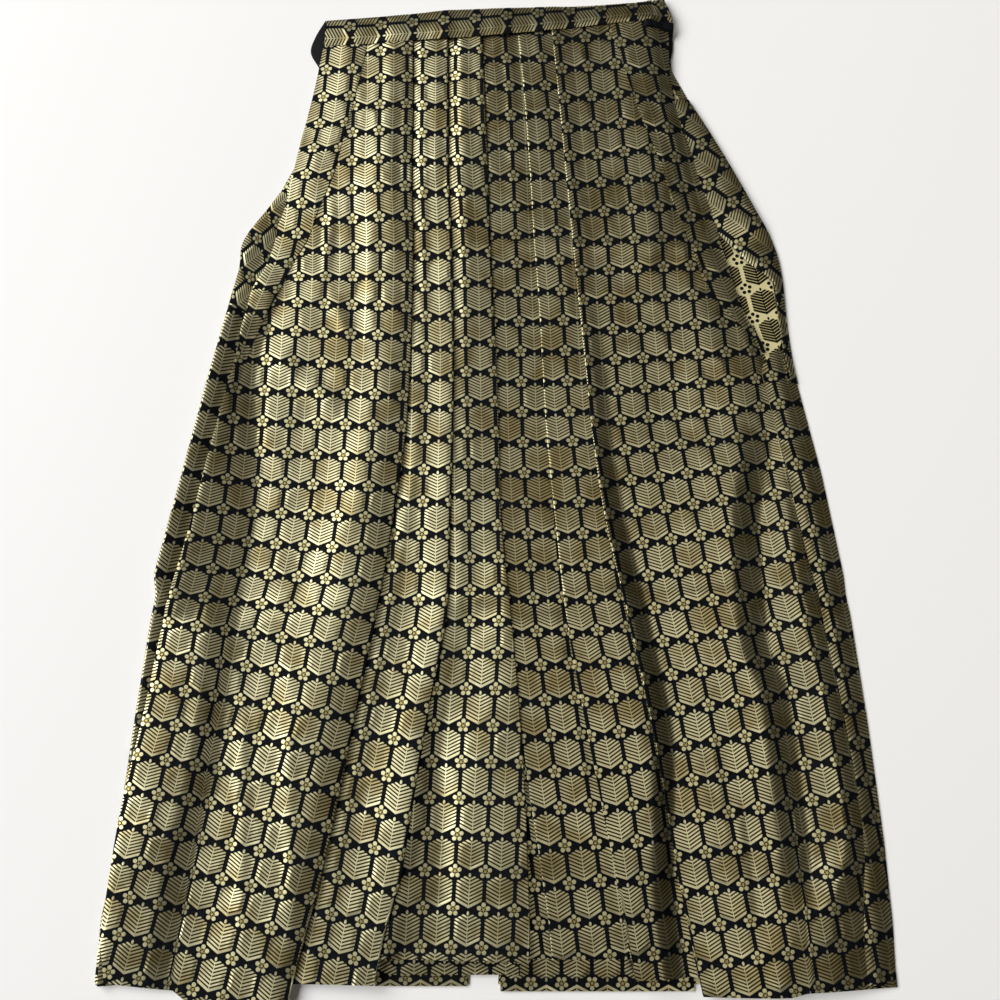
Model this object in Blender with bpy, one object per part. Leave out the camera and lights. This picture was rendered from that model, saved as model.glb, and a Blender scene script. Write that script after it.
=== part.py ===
# Divided hakama trousers in gold brocade, laid flat on the back with the front up.
# Sizes are millimetres. A height is measured along the garment, up from the lowest hem.
# x runs across the garment and z up from the surface that it lies on.

import bpy
import numpy as np

MM = 0.001
LENGTH = 900.0  # lowest hem to the highest point of the band
WALL = 1.2  # thickness of one layer of cloth
PITCH = 1.6  # from the middle of one stacked layer to the middle of the next
FOLD_STEPS = 4  # facets round a folded edge
PLEAT_MARGIN = 16.0  # a pleat is folded back by its panel's width less this
RISE = 8.0  # width over which a panel climbs on to the pleat below it
RISE_GAP = 3.0  # clear space between that climb and the pleat's inner fold
HEM_FADE = 100.0  # height over which a panel's own hem shape dies away
WAIST_FADE = 160.0  # length below the waist over which its slope dies away
SEAM_TOP = 866.0  # height of the front panels' upper edge at the left end
BACK_HEM = 19.0  # height of the back panels' hem
BACK_PLEAT_DEPTH = 34.0  # width turned in at the back's centre pleat
BACK_PLEAT_HEM = 75.0  # height at which that turned-in cloth starts
HIDDEN_EDGE = 8.0  # width of the innermost layer kept back under the left leg's edge
BAND_EDGE = 3.4  # length of the band's folded upper edge
BAND_LAP = 3.0  # how much shorter the band's back is than its face


def table(names, *rows):
    """Columns by name, from one row of numbers for each level."""
    return dict(zip(names.split(), np.array(rows, float).T))


# Folded edges of the front that lie on top, and the soft storage crease down each side.
FRONT = table(
    "height left_side left_crease left_1 left_2 centre hidden right_2 right_1 right_crease right_side",
    (0, -325, -267, -166, -95, 26, 45, 108, 163, 253, 325),
    (40, -323, -262, -157, -90, 26, 43, 104, 158, 252, 323),
    (100, -318, -253, -145, -79, 25, 38, 98, 150, 250, 318),
    (160, -311, -245, -133, -70, 23, 29, 87, 141, 247, 314),
    (240, -296, -237, -118, -57, 18, 16, 72, 127, 240, 304),
    (320, -283, -230, -103, -43, 11, 3, 59, 111, 232, 292),
    (400, -264, -220, -91, -41, 3, -7, 51, 94, 231, 276),
    (480, -248, -222, -81, -39, 1, -9, 44, 84, 241, 260),
    (540, -238, -224, -78, -39, -1, -11, 41, 79, 230, 241),
    (600, -222, -205, -77, -40, -4, -14, 38, 74, 208, 220),
    (660, -200, -185, -77, -42, -7, -17, 34, 69, 190, 202),
    (720, -188, -172, -79, -45, -9, -19, 31, 64, 174, 186),
    (790, -172, -160, -79, -46, -12, -22, 26, 58, 154, 166),
    (866, -160, -148, -80, -47, -15, -25, 19, 51, 146, 157),
)
# Outline of the two back panels, and their inner folded edges.
BACK = table(
    "height left_side left_fold right_fold right_side",
    (0, -324, -23.0, 2.0, 324),
    (60, -323, -22.0, 2.0, 324),
    (130, -314, -19.0, 2.5, 321),
    (230, -305, -12.0, 3.0, 313),
    (317, -296, -5.0, 2.5, 304),
    (334, -293, -3.0, 2.0, 301),
    (352, -296, -1.6, 1.6, 300),
    (440, -277, -1.6, 1.6, 286),
    (530, -258, -1.6, 1.6, 267),
    (590, -244, -1.6, 1.6, 261),
    (645, -232, -1.6, 1.6, 255),
    (690, -209, -1.6, 1.6, 237),
    (732, -188, -1.6, 1.6, 216),
    (758, -182, -1.6, 1.6, 200),
    (787, -174, -1.6, 1.6, 180),
    (812, -171, -1.6, 1.6, 165),
    (848, -166, -1.6, 1.6, 161),
)
# Where each panel's hem lies, across the garment.
LEFT_HEM = table(
    "x height", (-325, 22), (-262, 15), (-250, 6), (-211, 0), (-166, 4)
)
RIGHT_HEM = table("x height", (163, 12), (236, 12), (249, 15), (325, 17))
HEM_HEIGHT = {"left_1": 21.0, "left_2": 40.0, "right_1": 26.0, "right_2": 42.0}
# The narrow pleats that run from the band to the foot of each side opening.
LEFT_STRIP = table(
    "height outer inner",
    (545, -227, -224),
    (557, -230, -220),
    (593, -226, -206),
    (611, -222, -197),
    (635, -210, -187),
    (658, -203, -174),
    (687, -200, -165),
    (719, -191, -153),
    (756, -183, -144),
    (802, -173, -133),
    (862, -163, -121),
)
RIGHT_STRIP = table(
    "height outer inner",
    (552, 242, 239),
    (562, 238, 231),
    (575, 231, 222),
    (591, 223, 207),
    (610, 217, 193),
    (663, 203, 174),
    (698, 194, 161),
    (741, 182, 147),
    (772, 169, 134),
    (795, 164, 125),
    (862, 163, 103),
)
# Each back panel's edge, turned up and in over the panel beside the side opening.
LEFT_FLAP = table(
    "height outer inner",
    (545, -255, -247),
    (574, -250, -240),
    (597, -242, -214),
    (634, -234, -200),
    (652, -233, -192),
    (694, -208, -176),
    (716, -194, -168),
)
RIGHT_FLAP = table(
    "height outer inner",
    (524, 269, 263),
    (563, 263, 256),
    (604, 261, 253),
    (622, 260, 249),
    (631, 259, 237),
    (651, 255, 218),
    (689, 238, 186),
    (732, 216, 168),
    (758, 200, 158),
    (787, 180, 152),
)
# The front band, from its left end to its right end.
BAND = table(
    "x low high layer",
    (-163, 852, 881, 5),
    (-122, 853, 884, 5.2),
    (-81, 855, 887, 6.6),
    (-46, 856, 890, 8),
    (-14, 858, 891, 8),
    (51, 864, 893, 6.6),
    (100, 870, 895, 5.2),
    (140, 874, 898, 5),
    (156, 876, 900, 5),
    (165, 877, 892, 5),
)
# The front ties, folded behind at the ends of the band and laid under the front.
LEFT_TIE = table(
    "height outer inner",
    (640, -127, -100),
    (740, -140, -108),
    (800, -154, -118),
    (834, -169, -126),
    (849, -177, -128),
    (866, -173, -131),
    (883, -164, -140),
)
RIGHT_TIE = table(
    "height outer inner",
    (640, 118, 92),
    (740, 128, 99),
    (800, 140, 108),
    (820, 152, 116),
    (838, 163, 124),
    (860, 165, 126),
    (873, 167, 128),
    (892, 162, 132),
    (900, 157, 141),
)
LEFT_GUSSET = table(
    "height outer inner",
    (27, -88, 19),
    (120, -72, 15),
    (230, -54, 9),
    (345, -24, -1),
)
RIGHT_GUSSET = table(
    "height outer inner",
    (50, 100, 32),
    (120, 84, 30),
    (230, 62, 22),
    (345, 32, 8),
)
# The lowest layer of the front rises from the sides to the middle.
STACK = table(
    "height side_layer core_width",
    (0, 1, 165),
    (320, 1, 120),
    (480, 1, 100),
    (540, 1.6, 98),
    (600, 2, 98),
    (720, 2, 98),
    (790, 2.6, 98),
    (866, 3, 98),
)
CORE_LAYER = 3.0
CORE_FADE = 38.0  # width over which the stack falls from the middle to the sides
# The front swells beside its storage creases, and less towards the side openings.
SWELL = table("height rise", (0, 3.0), (480, 3.0), (540, 1.5), (600, 0.0), (900, 0.0))
CREASE_WIDTH = 8.0
SWELL_WIDTH = 62.0

FACE_COLOUR = (0.33, 0.28, 0.14)  # gold figures on navy, seen from a distance
WRONG_COLOUR = (0.42, 0.38, 0.22)  # navy figures on gold
BAND_COLOUR = (0.28, 0.24, 0.12)
TIE_COLOUR = (0.05, 0.05, 0.06)


def clear_scene():
    for item in list(bpy.data.objects):
        bpy.data.objects.remove(item, do_unlink=True)


def cloth_material(name, colour):
    made = bpy.data.materials.new(name)
    made.use_nodes = True
    shader = made.node_tree.nodes["Principled BSDF"]
    shader.inputs["Base Color"].default_value = (*colour, 1.0)
    shader.inputs["Roughness"].default_value = 0.45
    shader.inputs["Metallic"].default_value = 0.35
    return made


def at(columns, name, height, along="height"):
    return np.interp(height, columns[along], columns[name])


def smooth(value):
    value = np.clip(value, 0.0, 1.0)
    return value * value * (3.0 - 2.0 * value)


def layer_z(layer):
    return WALL / 2 + PITCH * layer


def base_layer(x, height):
    """Layer on which the lowest cloth of the front lies at this place."""
    side = at(STACK, "side_layer", height)
    core = at(STACK, "core_width", height)
    inside = 1.0 - smooth((np.abs(x) - core) / CORE_FADE)
    return side + (CORE_LAYER - side) * inside


def swelling(inside):
    """From 0 to 1 and back, over the distance inside a storage crease."""
    return smooth(inside / CREASE_WIDTH) * (1.0 - smooth((inside - CREASE_WIDTH) / SWELL_WIDTH))


def waist_rise(x):
    """How far the waist seam has climbed from the band's left end."""
    return at(BAND, "low", x, along="x") - BAND["low"][0]


def place(x, height, hem):
    """Height of a point once its hem and the sloping waist are followed."""
    lifted = hem * np.clip(1.0 - height / HEM_FADE, 0.0, 1.0)
    waist = smooth((height - SEAM_TOP + WAIST_FADE) / WAIST_FADE)
    return height + lifted + waist * waist_rise(x)


def thick_sheet(name, points, colour):
    """A closed wall about a grid of (x, height, z), thickened square to each cross-section."""
    points = np.asarray(points, float)
    along = np.gradient(points[:, :, [0, 2]], axis=1)
    along /= np.linalg.norm(along, axis=2, keepdims=True)
    offset = np.zeros_like(points)
    offset[:, :, 0] = -along[:, :, 1]
    offset[:, :, 2] = along[:, :, 0]
    return wall_object(name, points, offset * WALL / 2, colour)


def wall_object(name, points, offset, colour):
    """The closed mesh between points + offset and points - offset."""
    rows, columns = points.shape[:2]
    grid = np.arange(rows * columns).reshape(rows, columns)
    under = grid + rows * columns
    faces = []
    for side, turn in ((grid, 1), (under, -1)):
        quads = (side[:-1, :-1], side[:-1, 1:], side[1:, 1:], side[1:, :-1])
        faces += np.stack(quads, axis=-1).reshape(-1, 4)[:, ::turn].tolist()
    rim = np.concatenate((grid[0, :-1], grid[:-1, -1], grid[-1, :0:-1], grid[:0:-1, 0]))
    low = rim + rows * columns
    faces += np.stack((rim, low, np.roll(low, -1), np.roll(rim, -1)), axis=-1).tolist()
    corners = np.concatenate(((points + offset).reshape(-1, 3), (points - offset).reshape(-1, 3)))
    corners[:, 1] -= LENGTH / 2
    mesh = bpy.data.meshes.new(name)
    mesh.from_pydata((corners * MM).tolist(), [], faces)
    mesh.materials.append(cloth_material(name + "_cloth", colour))
    mesh.update()
    made = bpy.data.objects.new(name, mesh)
    bpy.context.scene.collection.objects.link(made)
    return made


class Section:
    """One level of a pleated panel: its points (x, layer, hem) from the side to the centre."""

    def __init__(self, height, inward):
        self.height = height
        self.inward = inward
        self.points = []

    def flat(self, start, end, layer, hem, steps=3):
        """Cloth from start to end in one layer."""
        for x in np.linspace(start, end, steps):
            self.points.append((x, layer, hem))

    def climbing(self, start, end, high, climb_end, hem):
        """Cloth from start to end that climbs from layer 0 on to layer high before climb_end."""
        climb_start = climb_end - self.inward * RISE
        x = np.concatenate(
            (
                np.linspace(start, climb_start, 4)[:-1],
                np.linspace(climb_start, climb_end, 5),
                np.linspace(climb_end, end, 4)[1:],
            )
        )
        self.add_climb(x, climb_start, high, hem + 0.0 * x)

    def side_panel(self, side, crease, end, high, climb_end, hems):
        """The wide outer panel: flat at the side, creased, swollen, then climbing on its pleat."""
        climb_start = climb_end - self.inward * RISE
        ridge = crease + self.inward * CREASE_WIDTH
        x = np.concatenate(
            (
                np.linspace(side, crease, 4)[:-1],
                np.linspace(crease, ridge, 4)[:-1],
                np.linspace(ridge, climb_start, 8)[:-1],
                np.linspace(climb_start, climb_end, 5),
                np.linspace(climb_end, end, 5)[1:],
            )
        )
        swell = at(SWELL, "rise", self.height) / PITCH * swelling((x - crease) * self.inward)
        self.add_climb(x, climb_start, high, hems(x), swell)

    def add_climb(self, x, climb_start, high, hem, swell=0.0):
        layer = high * smooth((x - climb_start) * self.inward / RISE) + swell
        self.points += list(zip(x, layer, hem))

    def turn(self, x, upper, lower, outward, hem):
        """A folded edge at x, from one layer to another."""
        for angle in np.linspace(0.0, np.pi, FOLD_STEPS + 1)[1:-1]:
            layer = (upper + lower) / 2 + (upper - lower) / 2 * np.cos(angle)
            bulge = outward * abs(upper - lower) * PITCH / 2 * np.sin(angle)
            self.points.append((x + bulge, layer, hem))

    def grid(self):
        x, layer, hem = np.array(self.points).T
        z = layer_z(base_layer(x, self.height) + layer)
        return np.stack((x, place(x, self.height, hem), z), axis=-1)


def pleat_depth(width):
    return max(width - PLEAT_MARGIN, 10.0)


def left_hem(x):
    return at(LEFT_HEM, "height", x, along="x")


def right_hem(x):
    return at(RIGHT_HEM, "height", x, along="x")


def front_left():
    """Three panels from the left side to the centre, each folded over the next."""
    rows = []
    for level, height in enumerate(FRONT["height"]):
        side, crease, first, second, centre = (
            FRONT[name][level]
            for name in ("left_side", "left_crease", "left_1", "left_2", "centre")
        )
        depth = pleat_depth(second - first)
        inner = min(pleat_depth(centre - second), 45.0)
        section = Section(height, inward=1)
        section.side_panel(side, crease, first, 2, first - depth - RISE_GAP, left_hem)
        section.turn(first, 2, 1, 1, left_hem(first))
        section.flat(first, first - depth, 1, HEM_HEIGHT["left_1"])
        section.turn(first - depth, 1, 0, -1, HEM_HEIGHT["left_1"])
        climb = second - depth - RISE_GAP
        section.climbing(first - depth, second, 2, climb, HEM_HEIGHT["left_1"])
        section.turn(second, 2, 1, 1, HEM_HEIGHT["left_1"])
        section.flat(second, second - depth, 1, HEM_HEIGHT["left_2"])
        section.turn(second - depth, 1, 0, -1, HEM_HEIGHT["left_2"])
        climb = centre - inner - RISE_GAP
        section.climbing(second - depth, centre, 4, climb, HEM_HEIGHT["left_2"])
        section.turn(centre, 4, 3, 1, HEM_HEIGHT["left_2"])
        section.flat(centre, centre - inner + RISE_GAP, 3, HEM_HEIGHT["left_2"])
        rows.append(section.grid())
    return rows


def front_right():
    """Three panels from the right side to the centre, the last one under the left leg's edge."""
    rows = []
    for level, height in enumerate(FRONT["height"]):
        side, crease, first, second, hidden, centre = (
            FRONT[name][level]
            for name in ("right_side", "right_crease", "right_1", "right_2", "hidden", "centre")
        )
        depth = pleat_depth(first - second)
        inner = min(pleat_depth(second - hidden), 22.0)
        section = Section(height, inward=-1)
        section.side_panel(side, crease, first, 2, first + depth + RISE_GAP, right_hem)
        section.turn(first, 2, 1, -1, right_hem(first))
        section.flat(first, first + depth, 1, HEM_HEIGHT["right_1"])
        section.turn(first + depth, 1, 0, 1, HEM_HEIGHT["right_1"])
        climb = second + depth + RISE_GAP
        section.climbing(first + depth, second, 2, climb, HEM_HEIGHT["right_1"])
        section.turn(second, 2, 1, -1, HEM_HEIGHT["right_1"])
        section.flat(second, second + depth, 1, HEM_HEIGHT["right_2"])
        section.turn(second + depth, 1, 0, 1, HEM_HEIGHT["right_2"])
        climb = hidden + inner + RISE_GAP
        section.climbing(second + depth, hidden, 2, climb, HEM_HEIGHT["right_2"])
        section.turn(hidden, 2, 1, -1, HEM_HEIGHT["right_2"])
        section.flat(hidden, hidden + inner, 1, HEM_HEIGHT["right_2"])
        section.turn(hidden + inner, 1, 0, 1, HEM_HEIGHT["right_2"])
        section.flat(hidden + inner, centre - HIDDEN_EDGE, 0, HEM_HEIGHT["right_2"])
        rows.append(section.grid())
    return rows


def back_panel(sign):
    """One leg's back, flat on the surface, its inner edge folded in at the centre pleat."""
    name = "left" if sign < 0 else "right"
    rows = []
    for level, height in enumerate(BACK["height"]):
        side = BACK[name + "_side"][level]
        fold = BACK[name + "_fold"][level]
        x = list(np.linspace(side, fold, 7))
        layer = [0.0] * 7
        hem = [BACK_HEM] * 7
        for angle in np.linspace(0.0, np.pi, FOLD_STEPS + 1)[1:-1]:
            x.append(fold - sign * PITCH / 2 * np.sin(angle))
            layer.append(0.5 - 0.5 * np.cos(angle))
            hem.append(BACK_HEM)
        x += [fold, fold + sign * BACK_PLEAT_DEPTH]
        layer += [1.0, 1.0]
        hem += [BACK_PLEAT_HEM, BACK_PLEAT_HEM]
        x, hem = np.array(x), np.array(hem)
        y = place(x, height, hem)
        rows.append(np.stack((x, y, layer_z(np.array(layer))), axis=-1))
    return rows


def strip(columns, layer_of, level_waist=False):
    """A sheet between two named edges. layer_of gives its layer at (x, height)."""
    rows = []
    for height, outer, inner in zip(columns["height"], columns["outer"], columns["inner"]):
        x = np.linspace(min(outer, inner), max(outer, inner), 4)
        y = height + 0.0 * x if level_waist else place(x, height, 0.0)
        rows.append(np.stack((x, y, layer_z(layer_of(x, height))), axis=-1))
    return rows


def band():
    """The front band: a face, a folded upper edge and a back, with the front's top inside it."""
    columns = []
    for x, low, high, layer in zip(BAND["x"], BAND["low"], BAND["high"], BAND["layer"]):
        top = layer_z(layer)
        rear = layer_z(2)
        middle = (top + rear) / 2
        radius = (top - rear) / 2
        edge = high - BAND_EDGE
        section = [(x, low, top), (x, (low + edge) / 2, top), (x, edge, top)]
        for angle in np.linspace(0.0, np.pi, 6)[1:-1]:
            y = edge + (BAND_EDGE - WALL / 2) * np.sin(angle)
            section.append((x, y, middle + radius * np.cos(angle)))
        section += [(x, edge, rear), (x, low + BAND_LAP, rear)]
        columns.append(section)
    points = np.array(columns).transpose(1, 0, 2)[::-1]
    along = np.gradient(points[:, :, [1, 2]], axis=0)
    along /= np.linalg.norm(along, axis=2, keepdims=True)
    offset = np.zeros_like(points)
    offset[:, :, 1] = -along[:, :, 1]
    offset[:, :, 2] = along[:, :, 0]
    return points, offset * WALL / 2


def waist_strip(left, right, low, high, layer):
    """A sheet along the waist seam that follows its slope, from low to high above it."""
    x = np.linspace(left, right, 8)
    seam = BAND["low"][0] + waist_rise(x)
    z = layer_z(layer) + 0.0 * x
    return [np.stack((x, seam + part, z), axis=-1) for part in (low, high)]


def hem_turn(left, right, low, high):
    """The back panel's hem, turned up inside the leg."""
    x = np.linspace(left, right, 5)
    z = layer_z(1) + 0.0 * x
    return [np.stack((x, y + 0.0 * x, z), axis=-1) for y in (low, high)]


def above_front(x, height):
    return base_layer(x, height) + 1.0


def under_front(x, height):
    return 1.0 + 0.0 * x


def gusset_layer(x, height):
    return CORE_LAYER - 1.0 + 0.0 * x


def build():
    clear_scene()
    thick_sheet("front_left", front_left(), FACE_COLOUR)
    thick_sheet("front_right", front_right(), FACE_COLOUR)
    thick_sheet("back_left", back_panel(-1), WRONG_COLOUR)
    thick_sheet("back_right", back_panel(1), WRONG_COLOUR)
    thick_sheet("side_pleat_left", strip(LEFT_STRIP, above_front), FACE_COLOUR)
    thick_sheet("side_pleat_right", strip(RIGHT_STRIP, above_front), FACE_COLOUR)
    thick_sheet("side_flap_left", strip(LEFT_FLAP, under_front), FACE_COLOUR)
    thick_sheet("side_flap_right", strip(RIGHT_FLAP, under_front), FACE_COLOUR)
    thick_sheet("gusset_left", strip(LEFT_GUSSET, gusset_layer), FACE_COLOUR)
    thick_sheet("gusset_right", strip(RIGHT_GUSSET, gusset_layer), FACE_COLOUR)
    thick_sheet("hem_turn_left", hem_turn(-90, -24, 18, 60), FACE_COLOUR)
    thick_sheet("hem_turn_right", hem_turn(3, 160, 14, 60), FACE_COLOUR)
    wall_object("front_band", *band(), BAND_COLOUR)
    thick_sheet("front_tie_left", strip(LEFT_TIE, under_front, level_waist=True), TIE_COLOUR)
    thick_sheet("front_tie_right", strip(RIGHT_TIE, under_front, level_waist=True), TIE_COLOUR)
    thick_sheet("back_band", waist_strip(-158, 155, -3, 24, 0), BAND_COLOUR)
    thick_sheet("back_tie_left", waist_strip(-104, -8, -2, 22, 1), TIE_COLOUR)
    thick_sheet("back_tie_right", waist_strip(8, 104, -2, 22, 1), TIE_COLOUR)


build()
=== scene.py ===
# Divided hakama trousers in gold and navy brocade, laid flat on the back with the front up.
# Tables are in millimetres: x across the garment, height up from the lowest hem, layer in the stack.
import bpy
import numpy as np
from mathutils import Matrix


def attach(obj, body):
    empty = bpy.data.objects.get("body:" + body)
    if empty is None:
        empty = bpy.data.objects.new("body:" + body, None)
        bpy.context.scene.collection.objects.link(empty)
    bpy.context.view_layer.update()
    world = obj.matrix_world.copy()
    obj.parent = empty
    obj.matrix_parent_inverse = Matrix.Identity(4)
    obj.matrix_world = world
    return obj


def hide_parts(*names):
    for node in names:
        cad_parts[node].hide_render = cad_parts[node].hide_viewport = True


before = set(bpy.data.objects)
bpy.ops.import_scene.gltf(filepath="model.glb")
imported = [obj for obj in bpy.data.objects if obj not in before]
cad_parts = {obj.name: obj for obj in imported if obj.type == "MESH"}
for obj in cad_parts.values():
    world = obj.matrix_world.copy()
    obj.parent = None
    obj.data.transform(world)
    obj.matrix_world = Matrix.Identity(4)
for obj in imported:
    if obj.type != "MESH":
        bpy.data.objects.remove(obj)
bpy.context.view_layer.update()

cloth = {"length": 900.0, "wall": 0.6, "pitch": 1.6, "rest": 0.3, "rows": 218}
repeat = {"across": 24.8, "along": 28.9}  # one hexagon of the brocade and its share of the ground


def tableOf(names, *rows):
    # rows of numbers as named columns
    return dict(zip(names.split(), np.array(rows, float).T))


def curved(table, name, where, knots="height"):
    # cubic through the knots whose slope at each is the mean of its neighbours', straight beyond
    at, values = table[knots], table[name]
    slope = np.gradient(values, at)
    i = np.clip(np.searchsorted(at, where) - 1, 0, len(at) - 2)
    step = at[i + 1] - at[i]
    t = np.clip((where - at[i]) / step, 0.0, 1.0)
    rise = values[i + 1] - values[i]
    inside = values[i] + rise * t * t * (3 - 2 * t)
    inside = inside + step * t * (1 - t) * (slope[i] * (1 - t) - slope[i + 1] * t)
    before = np.minimum(where - at[0], 0.0) * slope[0]
    return inside + before + np.maximum(where - at[-1], 0.0) * slope[-1]


def smooth(value):
    # 0 to 1 with level ends: three squares less two cubes
    value = np.clip(value, 0.0, 1.0)
    return value * value * (3.0 - 2.0 * value)


def bump(distance, width):
    # 1 at the middle, falling to 0 at either side as a smooth step
    return smooth(1.0 - np.abs(distance) / width)


# shapes that every piece follows
stack = tableOf(
    "height sideLayer coreWidth",
    (0, 1, 165), (320, 1, 120), (480, 1, 100), (540, 1.6, 98),
    (600, 2, 98), (720, 2, 98), (790, 2.6, 98), (866, 3, 98),
)
band = tableOf(
    "x low high foot layer",
    (-163, 852, 881, 4.2, 5), (-122, 853, 884, 4.4, 5.6), (-81, 855, 887, 5.0, 6.6),
    (-46, 856, 890, 5.9, 7.6), (-14, 858, 891, 6.2, 8), (51, 864, 893, 5.2, 7.0),
    (100, 870, 895, 4.6, 5.6), (140, 874, 899, 4.3, 5), (156, 876, 903, 4.2, 5), (165, 877, 904, 4.2, 5),
)
front = tableOf(
    "height leftSide leftCrease leftOne leftTwo centre hidden rightTwo rightOne rightCrease rightSide",
    (0, -325, -267, -166, -95, 26, 45, 108, 163, 253, 325),
    (40, -323, -262, -157, -90, 26, 43, 104, 158, 252, 323),
    (100, -318, -253, -145, -79, 25, 38, 98, 150, 250, 318),
    (160, -311, -245, -133, -70, 23, 29, 87, 141, 247, 314),
    (240, -296, -237, -118, -57, 18, 16, 72, 127, 240, 304),
    (320, -283, -230, -103, -43, 11, 3, 59, 111, 232, 292),
    (400, -264, -220, -91, -41, 3, -7, 51, 94, 231, 276),
    (480, -248, -222, -81, -39, 1, -9, 44, 84, 241, 260),
    (540, -235, -224, -78, -39, -1, -11, 41, 79, 230, 241),
    (600, -222, -205, -77, -40, -4, -14, 38, 74, 208, 220),
    (660, -200, -185, -77, -42, -7, -17, 34, 69, 190, 202),
    (720, -188, -172, -79, -45, -9, -19, 31, 64, 174, 186),
    (790, -172, -160, -79, -46, -12, -22, 26, 58, 154, 166),
    (866, -160, -148, -80, -47, -15, -25, 19, 51, 146, 157),
)


def baseLayer(x, height):
    # the stack falls smoothly from three layers at the middle to the sides' own count
    side = np.interp(height, stack["height"], stack["sideLayer"])
    core = np.interp(height, stack["height"], stack["coreWidth"])
    return side + (3.0 - side) * (1.0 - smooth((np.abs(x) - core) / 75.0))  # over 75 mm


def waistRise(x):
    # how much higher the waist seam is than at its left end
    return np.interp(x, band["x"], band["low"]) - band["low"][0]


def placed(x, height, hem):
    # a hem's own shape dies away over 100 mm, and the waist's slope over the last 160 mm
    waist = smooth((height - 706.0) / 160.0)
    return height + hem * np.clip(1.0 - height / 100.0, 0.0, 1.0) + waist * waistRise(x)


# How far the cloth stands above its stack in mm, at lines that run down the garment. It rises from the
# storage creases, rolls over towards each fold edge and turns down at the sides.
swell = tableOf(
    "height leftSide leftRise leftCrease leftInner leftCrest leftOne leftDip leftTwo leftFoot centre"
    " rightTwo rightOne rightFoot rightRidge rightCrease rightCrest rightSide",
    (0, 4.0, 3.4, 1.2, 2.2, 2.6, 1.8, 2.2, 5.4, 1.4, 9.8, 10.6, 9.6, 2.4, 11.6, 10.4, 9.8, 0),
    (70, 5.8, 5.4, 1.6, 2.8, 3.4, 1.4, 1.6, 6.4, 1.2, 10.8, 11.6, 10.4, 1.2, 9.6, 8.6, 8.2, 0),
    (120, 7.4, 7.0, 2.2, 3.6, 3.9, 1.2, 0.9, 6.6, 1.4, 11.0, 12.0, 10.4, 0.4, 8.0, 1.2, 7.8, 0),
    (220, 8.0, 8.4, 2.8, 4.2, 4.5, 0.9, 0.3, 6.4, 2.2, 10.2, 10.4, 10.0, 0.2, 7.8, 0.2, 7.0, 0.2),
    (312, 8.4, 8.6, 3.0, 4.2, 4.8, 0.7, 0.1, 5.4, 3.4, 8.8, 8.4, 8.8, 0.4, 7.8, 0.2, 7.0, 0.2),
    (326, 12.0, 7.4, 1.0, 2.6, 4.2, 0.6, 0.1, 5.2, 4.2, 7.2, 7.0, 8.2, 0.4, 7.8, 0.2, 6.8, 0.2),
    (390, 12.0, 7.0, 0.8, 2.4, 4.2, 0.2, 0.4, 4.4, 3.2, 4.6, 5.4, 7.2, 0.2, 7.8, 0.2, 5.6, 0.2),
    (440, 12.0, 6.4, 0.8, 2.2, 4.0, 0.6, 0.8, 4.4, 2.4, 1.8, 3.2, 6.0, 0.2, 6.6, 0.6, 1.6, 0.2),
    (500, 10.0, 5.2, 0.8, 2.4, 3.6, 2.4, 1.8, 4.6, 2.4, 1.2, 2.2, 4.6, 1.0, 4.0, 2.6, 2.2, 0.2),
    (560, 6.0, 3.0, 0.8, 2.2, 3.2, 2.6, 2.4, 4.2, 2.4, 1.3, 2.2, 4.2, 1.4, 3.6, 2.0, 1.4, 0.2),
    (600, 2.2, 1.8, 0.8, 2.0, 3.0, 2.5, 2.6, 3.8, 2.4, 1.4, 2.2, 3.8, 1.8, 3.4, 1.6, 0.9, 0.2),
    (700, 0.2, 0.8, 0.9, 2.0, 3.0, 2.5, 2.7, 3.6, 2.8, 2.0, 2.8, 4.0, 2.2, 4.2, 1.8, 0.6, 0.2),
    (790, 0.1, 0.6, 1.0, 2.1, 2.7, 2.3, 2.5, 3.2, 2.8, 2.6, 4.0, 5.4, 4.2, 6.4, 5.0, 2.0, 0.3),
    (866, 0.2, 0.6, 1.0, 2.2, 3.2, 3.0, 3.2, 4.0, 3.8, 3.9, 5.2, 6.2, 5.2, 7.4, 6.4, 3.0, 0.6),
)
# how far each line stands from the crease or fold edge beside it, in mm
offsets = {
    "leftRise": -22.0, "leftCrease": 8.0, "leftInner": 32.0, "leftCrest": -20.0, "leftOne": 4.0,
    "leftDip": 13.0, "leftFoot": 13.0,
    "rightOne": -26.0, "rightFoot": 18.0, "rightRidge": -28.0, "rightCrease": 10.0,
}
# soft folds, listed one by one: a ridge, or a trough where tall is negative, between two points
drags = tableOf(
    "x height xEnd heightEnd width tall",
    (-204, 553, -135, 495, 16, 1.4), (-150, 603, -131, 560, 9, 0.8), (-51, 250, -47, 62, 18, -1.6),
    (140, 725, 130, 606, 30, 2.6), (-177, 270, -165, 40, 10, 0.6), (-215, 262, -208, 60, 9, 0.6),
    (64, 250, 72, 180, 12, 0.8), (160, 500, 130, 455, 9, 0.7), (175, 250, 190, 90, 12, 0.9),
    (-150, 700, -158, 620, 8, 0.5), (205, 180, 214, 60, 8, -0.8), (-118, 690, -114, 560, 8, 0.5),
)
# ridges pressed across the garment in storage: height, slope and width
storage = {"tall": 1.3, "main": (331.0, 0.02, 9.0), "faint": ((655.0, -0.02, 9.0), (132.0, -0.05, 24.0))}
slack = {"wave": 0.14, "gather": 0.10, "gatherWidth": 14.0, "sideRoom": 30.0}  # small waves, in mm


def eased(table, name, where):
    # from row to row of a table by a smooth step
    at, values = table["height"], table[name]
    i = np.clip(np.searchsorted(at, where) - 1, 0, len(at) - 2)
    return values[i] + (values[i + 1] - values[i]) * smooth((where - at[i]) / (at[i + 1] - at[i]))


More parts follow.
